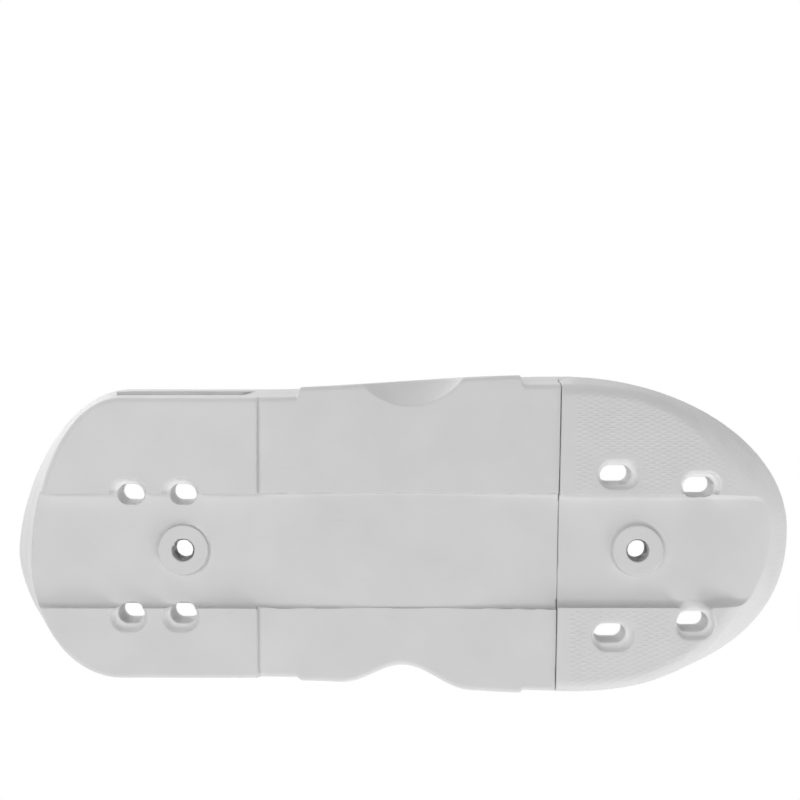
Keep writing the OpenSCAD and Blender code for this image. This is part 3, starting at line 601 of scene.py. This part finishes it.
def moulding(name, shape, low, high, step, keep):
    """A piece from its shape, with the points drawn onto the surface and thinned where it is flat."""
    points, faces = net(shape, low, high, step)
    reach, least = 0.35 * step, 0.2
    for _ in range(2):
        d, g = gradient(shape, points)
        size = np.maximum((g * g).sum(axis=1), least)
        points = points - g * np.clip(d / size, -reach, reach)[:, None]
    mesh = bpy.data.meshes.new(name)
    mesh.from_pydata(points.tolist(), [], faces.tolist())
    obj = linked(name, mesh)
    thin = obj.modifiers.new("thin", "DECIMATE")
    thin.ratio = keep
    thinned = bpy.data.meshes.new_from_object(obj.evaluated_get(bpy.context.evaluated_depsgraph_get()))
    obj.modifiers.clear()
    obj.data = thinned
    bpy.data.meshes.remove(mesh)
    thinned.name = name
    thinned.polygons.foreach_set("use_smooth", np.ones(len(thinned.polygons), bool))
    thinned.normals_split_custom_set_from_vertices(normals_of(shape, points_of(thinned)).tolist())
    return obj


def mark(obj, name, values):
    """Stores a number between 0 and 1 at each point, for the material."""
    layer = obj.data.attributes.new(name, "FLOAT", "POINT")
    layer.data.foreach_set("value", np.clip(values, 0, 1).astype(np.float32))


def mark_painted_glow(obj, spots, half):
    """Marks the recesses, whose colour the material paints lighter: a painted glow standing in for light let
    through the thin plastic.
    """
    x, y, z = points_of(obj.data).T
    beside = (np.abs(y) - CHANNEL_HALF - PAINTED_GLOW_CHANNEL_ROOM) / PAINTED_GLOW_CHANNEL_RUN
    near = np.minimum(-dish_plan(x, y, spots, half) / PAINTED_GLOW_RUN, beside)
    near = np.minimum(near, (z - PAINTED_GLOW_LOW_Z) / PAINTED_GLOW_RUN)
    mark(obj, "thin", np.minimum(near, (CHANNEL_Z + PAINTED_GLOW_ABOVE - z) / PAINTED_GLOW_ABOVE_RUN))


def put(obj, *places):
    """Sets a piece, drawn in millimetres above the ground, into the frame, once or at several places."""
    to_frame = Matrix.Translation((0, 0, GROUND * MM)) @ Matrix.Scale(MM, 4)
    if len(places) == 1:
        obj.data.transform(to_frame @ places[0])
        return obj
    copies = []
    for place in places:
        mesh = obj.data.copy()
        mesh.transform(to_frame @ place)
        copies.append(linked(obj.name + "_copy", mesh))
    bpy.data.objects.remove(obj)
    with bpy.context.temp_override(active_object=copies[0], selected_editable_objects=copies):
        bpy.ops.object.join()
    return copies[0]


def lattice(a0, a1, b0, b1):
    """Middles of the knurl's lozenges over a stretch."""
    i = np.arange(math.floor(2 * a0 / KNURL_L), math.ceil(2 * a1 / KNURL_L))
    j = np.arange(math.floor(2 * b0 / KNURL_W), math.ceil(2 * b1 / KNURL_W))
    i, j = np.meshgrid(i, j, indexing="ij")
    even = (i + j) % 2 == 0
    return np.stack([i[even] * KNURL_L / 2, j[even] * KNURL_W / 2], axis=1)


def on_toe(x, y, z):
    """Whether places lie on the toe's outside, ahead of the border along the joint."""
    ahead = x > seam(y, z) + SEAM_GAP + KNURL_BORDER
    return ahead & (np.abs(toe_body(x, y, z)) < KNURL_TOLERANCE)


def on_wing(flat):
    """Places on the toe's underside, with the way out of it and whether the knurl covers them."""
    x, y = flat.T
    z = sweep(x)[0] + KNURL_H
    rise, least, most = 0.05, 0.2, 1
    for _ in range(6):
        here, ahead = toe_body(x, y, z), toe_body(x, y, z + rise)
        z -= np.clip(here / np.minimum((ahead - here) / rise, -least), -most, most)
    p = np.stack([x, y, z], axis=1)
    wall, _, edge = toe_wall(x, y, z)
    clear = on_toe(x, y, z) & (wall < -KNURL_EDGE * edge) & (np.abs(y) > CHANNEL_HALF + KNURL_WING_ROOM)
    clear &= dish_distance(x, y, TOE_SLOTS, TOE_SLOT_HALF) > SLOT_R + DISH_RUN + KNURL_ROOM
    clear &= (np.abs(x - NOTCH_X) > NOTCH_HALF + KNURL_ROOM) | (y < 0) | (y > NOTCH_Y)
    return p, normals_of(toe_body, p), clear


def toe_track(z):
    """The toe's outline at one height, from the outer joint to the inner one, and its length from the tip."""
    up = z / TRACK_RIM_Z
    steps = 400
    bend = np.linspace(0, np.pi / 2, steps)
    length = TOE_ROUND - TOE_LEAN * (1 - up)
    outer = TOE_TIP_Y + TOE_OUTER - OUTER_LEAN * (1 - up)
    inner = TOE_INNER - INNER_LEAN * (1 - up) - TOE_TIP_Y
    halves = []
    for side, width, full in ((-1, outer, TOE_OUTER_FULL), (1, inner, TOE_INNER_FULL)):
        full = mix(TOE_FOOT_FULL, full, up)
        x = TOE_X + length * np.cos(bend) ** (2 / full)
        y = TOE_TIP_Y + side * width * np.sin(bend) ** (2 / full)
        halves.append(np.stack([np.append(x, SEAM_X - TRACK_PAST), np.append(y, y[-1])], axis=1))
    track = np.concatenate([halves[0][::-1], halves[1][1:]])
    along = np.concatenate([[0], np.cumsum(np.linalg.norm(np.diff(track, axis=0), axis=1))])
    return track, along - along[len(halves[0]) - 1]


def on_toe_wall(flat):
    """Places on the toe's wall, given by the length along it and the height, as on_wing gives them."""
    track, along = toe_track(LINE_Z)
    step = np.gradient(track, along, axis=0)
    s, z = flat.T
    x, y = (np.interp(s, along, track[:, k]) for k in (0, 1))
    out_x, out_y = np.interp(s, along, step[:, 1]), -np.interp(s, along, step[:, 0])
    move, reach, least, most = np.zeros(len(s)), 0.1, 0.2, 3
    for _ in range(8):
        here = toe_body(x + move * out_x, y + move * out_y, z)
        ahead = toe_body(x + (move + reach) * out_x, y + (move + reach) * out_y, z)
        move -= np.clip(here / np.maximum((ahead - here) / reach, least), -most, most)
    x, y = x + move * out_x, y + move * out_y
    p = np.stack([x, y, z], axis=1)
    _, rim, _ = toe_wall(x, y, z)
    clear = on_toe(x, y, z) & (z < rim - KNURL_RIM_ROOM) & (z > sweep(x)[0] + KNURL_FOOT_ROOM)
    clear &= (np.abs(y) > CHANNEL_HALF + KNURL_CHANNEL_ROOM) | (z > KNURL_CHANNEL_Z)
    return p, normals_of(toe_body, p), clear


def knurl(name, *stretches):
    """Low pyramids on lozenge feet, set close together on the toe's outside."""
    half_l, half_w = KNURL_L / 2, KNURL_W / 2
    lozenge = np.array([(-half_l, 0), (0, -half_w), (half_l, 0), (0, half_w), (0, 0)])
    corners = len(lozenge)
    lift = np.array([-KNURL_SINK] * (corners - 1) + [KNURL_H - KNURL_BLUNT])
    sides = np.array([(0, 1, 4), (1, 2, 4), (2, 3, 4), (3, 0, 4), (0, 2, 1), (0, 3, 2)])
    points, faces, count = [], [], 0
    for surface, middles in stretches:
        p, out, clear = surface((middles[:, None] + lozenge[None]).reshape(-1, 2))
        whole = clear.reshape(-1, corners).all(axis=1)
        out = out.reshape(-1, corners, 3)
        p = (p.reshape(-1, corners, 3) + out * lift[None, :, None])[whole]
        out = out[whole, -1]
        turn = np.cross(p[:, 1] - p[:, 0], p[:, -1] - p[:, 0])
        right = (turn * out).sum(axis=1) > 0
        corner = count + corners * np.arange(len(p))[:, None, None] + sides[None]
        corner[~right] = corner[~right][:, :, ::-1]
        points.append(p.reshape(-1, 3))
        faces.append(corner.reshape(-1, 3))
        count += corners * len(p)
    mesh = bpy.data.meshes.new(name)
    mesh.from_pydata(np.concatenate(points).tolist(), [], np.concatenate(faces).tolist())
    return linked(name, mesh)


def grey(tone, blue=0.0):
    """A grey, with a little more blue where asked."""
    return tone, tone, tone + blue


class Surface:
    """A procedural material under construction."""

    def __init__(self, name):
        self.material = bpy.data.materials.new(name)
        self.material.use_nodes = True
        self.tree = self.material.node_tree
        self.shader = self.tree.nodes["Principled BSDF"]
        self.spot = self.add("ShaderNodeTexCoord").outputs["Object"]

    def add(self, kind, **settings):
        node = self.tree.nodes.new(kind)
        for key, value in settings.items():
            setattr(node, key, value)
        return node

    def link(self, source, socket):
        self.tree.links.new(source, socket)

    def noise(self, scale, detail=3, stretch=(1, 1, 1)):
        """Noise with its grain size given by scale, in turns to the metre."""
        mapping = self.add("ShaderNodeMapping")
        mapping.inputs["Scale"].default_value = stretch
        self.link(self.spot, mapping.inputs["Vector"])
        node = self.add("ShaderNodeTexNoise")
        node.inputs["Scale"].default_value = scale
        node.inputs["Detail"].default_value = detail
        self.link(mapping.outputs[0], node.inputs["Vector"])
        return node.outputs["Fac"]

    def spread(self, value, low, high, to_low=0.0, to_high=1.0):
        node = self.add("ShaderNodeMapRange")
        set_range(node, low, high, to_low, to_high)
        self.link(value, node.inputs["Value"])
        return node.outputs[0]

    def math(self, kind, a, b):
        node = self.add("ShaderNodeMath", operation=kind)
        for socket, value in zip(node.inputs, (a, b)):
            if isinstance(value, (int, float)):
                socket.default_value = value
            else:
                self.link(value, socket)
        return node.outputs[0]

    def between(self, amount, low, high):
        """A colour between two, each fixed or taken from another node."""
        node = self.add("ShaderNodeMix", data_type="RGBA")
        self.link(amount, node.inputs["Factor"])
        for socket, colour in zip(("A", "B"), (low, high)):
            spot = [i for i in node.inputs if i.name == socket and i.type == "RGBA"][0]
            if isinstance(colour, tuple):
                spot.default_value = (*colour, 1)
            else:
                self.link(colour, spot)
        return [o for o in node.outputs if o.type == "RGBA"][0]

    def bump(self, height, strength, distance, under=None):
        node = self.add("ShaderNodeBump")
        node.inputs["Strength"].default_value = strength
        node.inputs["Distance"].default_value = distance
        self.link(height, node.inputs["Height"])
        if under:
            self.link(under, node.inputs["Normal"])
        return node.outputs[0]

    def attribute(self, name):
        return self.add("ShaderNodeAttribute", attribute_name=name).outputs["Fac"]


def set_range(node, low, high, to_low, to_high):
    for key, number in zip(("From Min", "From Max", "To Min", "To Max"), (low, high, to_low, to_high)):
        node.inputs[key].default_value = number


def parting_line_with_shade(m):
    """How much of the mould's parting line lies at a place, broken at the heel step; it drives a painted
    shadow line and a bumped groove.
    """
    split = m.add("ShaderNodeSeparateXYZ")
    m.link(m.spot, split.inputs[0])
    x, _, z = split.outputs
    core, edge, break_core, break_edge = 0.12 * MM, 0.34 * MM, 1 * MM, 6 * MM
    near = m.math("ABSOLUTE", m.math("SUBTRACT", z, (LINE_Z + GROUND) * MM), 0)
    line = m.spread(near, core, edge, to_low=1, to_high=0)
    gap = m.math("ABSOLUTE", m.math("SUBTRACT", x, -HEEL_STEP * MM), 0)
    line = m.math("MULTIPLY", line, m.spread(gap, break_core, break_edge))
    return m.math("MULTIPLY", line, m.attribute("outside"))


def white_plastic(name, parted):
    """White moulded plastic with a fine grain, faint rub marks, a painted glow in the marked recesses and,
    where asked, the mould's parting line with a painted shadow line.
    """
    m = Surface(name)
    rub_share, shadow_line_share = 0.2, 0.4
    cloud = m.spread(m.noise(scale=45), 0.35, 0.65)
    colour = m.between(cloud, grey(0.70), grey(0.73))
    rubs = m.spread(m.noise(scale=260, detail=4, stretch=(0.25, 3, 3)), 0.66, 0.76)
    colour = m.between(m.math("MULTIPLY", rubs, rub_share), colour, grey(0.62))
    # Painted glow: the recesses under the mark named thin are painted nearly white, standing in for light let
    # through the plastic.
    colour = m.between(m.attribute("thin"), colour, grey(0.93))
    normal = m.bump(m.noise(scale=3200, detail=2), strength=0.12, distance=0.00006)
    normal = m.bump(rubs, strength=0.1, distance=0.00004, under=normal)
    if parted:
        line = parting_line_with_shade(m)
        # Painted shadow: the parting line's colour is darkened, standing in for the shade along its groove;
        # the bump below gives the groove itself.
        colour = m.between(m.math("MULTIPLY", line, shadow_line_share), colour, grey(0.36))
        normal = m.bump(m.math("SUBTRACT", 1, line), strength=0.5, distance=0.0002, under=normal)
    m.link(colour, m.shader.inputs["Base Color"])
    rough = m.spread(m.noise(scale=120), 0.3, 0.7, to_low=0.4, to_high=0.52)
    m.link(rough, m.shader.inputs["Roughness"])
    m.shader.inputs["Specular IOR Level"].default_value = 0.25
    m.link(normal, m.shader.inputs["Normal"])
    return m.material


def metal(name, low, high, rough):
    """Machined metal with fine turning marks and a slightly uneven tone."""
    m = Surface(name)
    cloud = m.spread(m.noise(scale=300, detail=4), 0.35, 0.65)
    uneven = m.spread(m.noise(scale=900), 0.3, 0.7, to_low=rough, to_high=rough + 0.14)
    marks = m.noise(scale=2400, detail=2, stretch=(1, 1, 6))
    m.link(m.between(cloud, low, high), m.shader.inputs["Base Color"])
    m.link(uneven, m.shader.inputs["Roughness"])
    m.link(m.bump(marks, strength=0.15, distance=0.00005), m.shader.inputs["Normal"])
    m.shader.inputs["Metallic"].default_value = 1.0
    return m.material


def grey_plastic(name):
    """Grey plastic of the blank badge."""
    m = Surface(name)
    cloud = m.spread(m.noise(scale=220, detail=4), 0.35, 0.65)
    uneven = m.spread(m.noise(scale=500), 0.3, 0.7, to_low=0.34, to_high=0.48)
    grain = m.noise(scale=3000, detail=2)
    m.link(m.between(cloud, grey(0.54, 0.005), grey(0.59, 0.005)), m.shader.inputs["Base Color"])
    m.link(uneven, m.shader.inputs["Roughness"])
    m.link(m.bump(grain, strength=0.2, distance=0.00005), m.shader.inputs["Normal"])
    return m.material


def fit_out(obj, node, material):
    """Makes a piece stand for its node, move with the part and wear its material."""
    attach(obj, "root")
    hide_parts(node)
    obj.data.materials.clear()
    obj.data.materials.append(material)


# Metals, each between two tones
steel = metal("nut_steel", grey(0.33, 0.01), grey(0.47, 0.01), rough=0.26)
screw_steel = metal("screw_steel", grey(0.34, 0.01), grey(0.46, 0.01), rough=0.3)
brass = metal("insert_brass", (0.62, 0.43, 0.18), (0.72, 0.52, 0.24), rough=0.3)

# Main plate
main = moulding("main_moulding", main_plate, *MAIN_GRID)
mark(main, "outside", OUTSIDE_DEPTH + main_body(*points_of(main.data).T))
mark_painted_glow(main, HEEL_SLOTS, HEEL_SLOT_HALF)
fit_out(put(main, Matrix()), "main_plate", white_plastic("main_plastic", True))

# Toe plate and its knurl
toe_plastic = white_plastic("toe_plastic", False)
toe = moulding("toe_moulding", toe_plate, *TOE_GRID)
mark_painted_glow(toe, TOE_SLOTS, TOE_SLOT_HALF)
fit_out(put(toe, Matrix()), "toe_plate", toe_plastic)
toe_knurl = knurl("toe_knurl", (on_wing, lattice(*WING_STRETCH)), (on_toe_wall, lattice(*WALL_STRETCH)))
fit_out(put(toe_knurl, Matrix()), "toe_plate", toe_plastic)

# Frame nuts
for name, node, bx in (("rear_nut", "rear_frame_nut", -BOLT_X), ("front_nut", "front_frame_nut", BOLT_X)):
    nut = moulding(name, frame_nut, *NUT_GRID)
    fit_out(put(nut, Matrix.Translation((bx, 0, 0))), node, steel)

# Lap screws, and the inserts that stay as their solids
screw = moulding("lap_screw_set", lap_screw, *SCREW_GRID)
screws = put(screw, *[Matrix.Translation((SCREW_X, sy, 0)) for sy in SCREW_YS])
screws.name = "lap_screw_set"
fit_out(screws, "lap_screws", screw_steel)
inserts = frame["nodes"]["lap_inserts"]
inserts.data.materials.clear()
inserts.data.materials.append(brass)

# Badge, turned onto the leaning outer wall
lean = math.atan(OUTER_LEAN / WALL_H)
wall_y = OUTER_LEAN - HEEL_OUTER - BADGE_Z * math.tan(lean)
on_wall = Matrix.Translation((BADGE_X, wall_y, BADGE_Z)) @ Matrix.Rotation(math.pi / 2 - lean, 4, "X")
plate = moulding("blank_badge", badge, *BADGE_GRID)
fit_out(put(plate, on_wall), "side_badge", grey_plastic("badge_plastic"))

scene = bpy.context.scene
scene.view_settings.view_transform = "Standard"


def aim(obj, place, target, up):
    """Turns a camera or light so that it looks at a target, both in metres."""
    back = (Vector(place) - Vector(target)).normalized()
    right = Vector(up).cross(back).normalized()
    turn = Matrix((right, back.cross(right), back)).transposed().to_4x4()
    obj.matrix_world = Matrix.Translation(place) @ turn


# Camera under the plate, fitted to the photo's lower picture
IMAGE_PX, FOCAL_PX, SENSOR = 800, 1816.5, 36
EYE = Vector((1.74, -89, -652.5 + GROUND)) * MM
LOOK = Vector((-0.00828, 0.0525, 1))
OUTER_SIDE = (0, -1, 0)

camera = bpy.data.objects.new("camera", bpy.data.cameras.new("camera"))
scene.collection.objects.link(camera)
scene.camera = camera
camera.data.sensor_width = SENSOR
camera.data.lens = SENSOR * FOCAL_PX / IMAGE_PX
aim(camera, EYE, EYE + LOOK, OUTER_SIDE)
camera.data.clip_start = 0.01
camera.data.clip_end = 20


def pale_floor():
    """A pale floor under the wings that is seen from above only, so that the underside shows from below."""
    half, drop = 4.0, 0.00005
    z = GROUND * MM - drop
    corners = [(-half, -half, z), (half, -half, z), (half, half, z), (-half, half, z)]
    mesh = bpy.data.meshes.new("floor")
    mesh.from_pydata(corners, [], [(0, 1, 2, 3)])
    obj = linked("floor", mesh)
    m = Surface("floor_paper")
    back = m.add("ShaderNodeNewGeometry").outputs["Backfacing"]
    clear = m.add("ShaderNodeBsdfTransparent")
    choose = m.add("ShaderNodeMixShader")
    paper = m.between(m.noise(scale=30), grey(0.84, 0.005), grey(0.88, 0.005))
    m.link(paper, m.shader.inputs["Base Color"])
    m.shader.inputs["Roughness"].default_value = 0.8
    m.link(back, choose.inputs[0])
    m.link(m.shader.outputs[0], choose.inputs[1])
    m.link(clear.outputs[0], choose.inputs[2])
    m.link(choose.outputs[0], m.tree.nodes["Material Output"].inputs["Surface"])
    mesh.materials.append(m.material)
    obj.visible_shadow = False
    obj.visible_diffuse = False
    obj.visible_glossy = False
    obj.visible_transmission = False


pale_floor()

# Strength of the sky, as a sum of two ramps: from one height to another, from one strength to another
SKY_RAMPS = ((-0.03, 0.05, 0.14, 1.9), (0.3, 0.6, 0.0, -1.5))
WHITE = (1, 1, 1, 1)


def sky_strength(tree):
    """A sky that is dim below, bright just above the horizon and softer overhead."""
    way = tree.nodes.new("ShaderNodeTexCoord")
    height = tree.nodes.new("ShaderNodeSeparateXYZ")
    total = tree.nodes.new("ShaderNodeMath")
    tree.links.new(way.outputs["Generated"], height.inputs[0])
    for spot, ramp in enumerate(SKY_RAMPS):
        level = tree.nodes.new("ShaderNodeMapRange")
        set_range(level, *ramp)
        tree.links.new(height.outputs["Z"], level.inputs["Value"])
        tree.links.new(level.outputs[0], total.inputs[spot])
    return total.outputs[0]


def plain_rays(tree):
    """Whether a ray comes from the camera, a mirror or glass, which see plain white in place of the sky."""
    rays = tree.nodes.new("ShaderNodeLightPath")
    seen = rays.outputs["Is Camera Ray"]
    for kind in ("Is Glossy Ray", "Is Transmission Ray"):
        either_kind = tree.nodes.new("ShaderNodeMath")
        either_kind.operation = "MAXIMUM"
        tree.links.new(seen, either_kind.inputs[0])
        tree.links.new(rays.outputs[kind], either_kind.inputs[1])
        seen = either_kind.outputs[0]
    return seen


def surroundings():
    """The world: white to the eye, with the sky as its light."""
    world = bpy.data.worlds.new("world")
    scene.world = world
    world.use_nodes = True
    tree = world.node_tree
    sky = tree.nodes["Background"]
    sky.inputs["Color"].default_value = WHITE
    tree.links.new(sky_strength(tree), sky.inputs["Strength"])
    white = tree.nodes.new("ShaderNodeBackground")
    white.inputs["Strength"].default_value = 1.0
    white.inputs["Color"].default_value = WHITE
    choose = tree.nodes.new("ShaderNodeMixShader")
    tree.links.new(plain_rays(tree), choose.inputs[0])
    tree.links.new(sky.outputs[0], choose.inputs[1])
    tree.links.new(white.outputs[0], choose.inputs[2])
    tree.links.new(choose.outputs[0], tree.nodes["World Output"].inputs["Surface"])


surroundings()

# Square lamps: place and side in metres, power in watts
LAMPS = {
    "under_key": ((0.6, 0.6, -0.35), 0.4, 2.36),
    "under_side": ((-0.6, 0.6, -0.35), 0.4, 0.8),
    "under_fill": ((0.25, 0.35, -0.7), 0.4, 1.58),
    "under_heel": ((-0.36, -0.18, -0.62), 0.3, 2.1),
    "under_toe": ((0.45, 0.05, -0.6), 0.3, 0.35),
    "top_key": ((-0.6, -0.5, 0.8), 0.8, 2.4),
}
LAMP_UP = (0, 0.2, 1)


def soft_light(name, place, side, watts):
    """A square lamp aimed at the origin."""
    lamp = bpy.data.lights.new(name, "AREA")
    lamp.shape = "SQUARE"
    lamp.size = side
    lamp.energy = watts
    obj = bpy.data.objects.new(name, lamp)
    scene.collection.objects.link(obj)
    aim(obj, place, (0, 0, 0), LAMP_UP)


for name, (place, side, watts) in LAMPS.items():
    soft_light(name, place, side, watts)
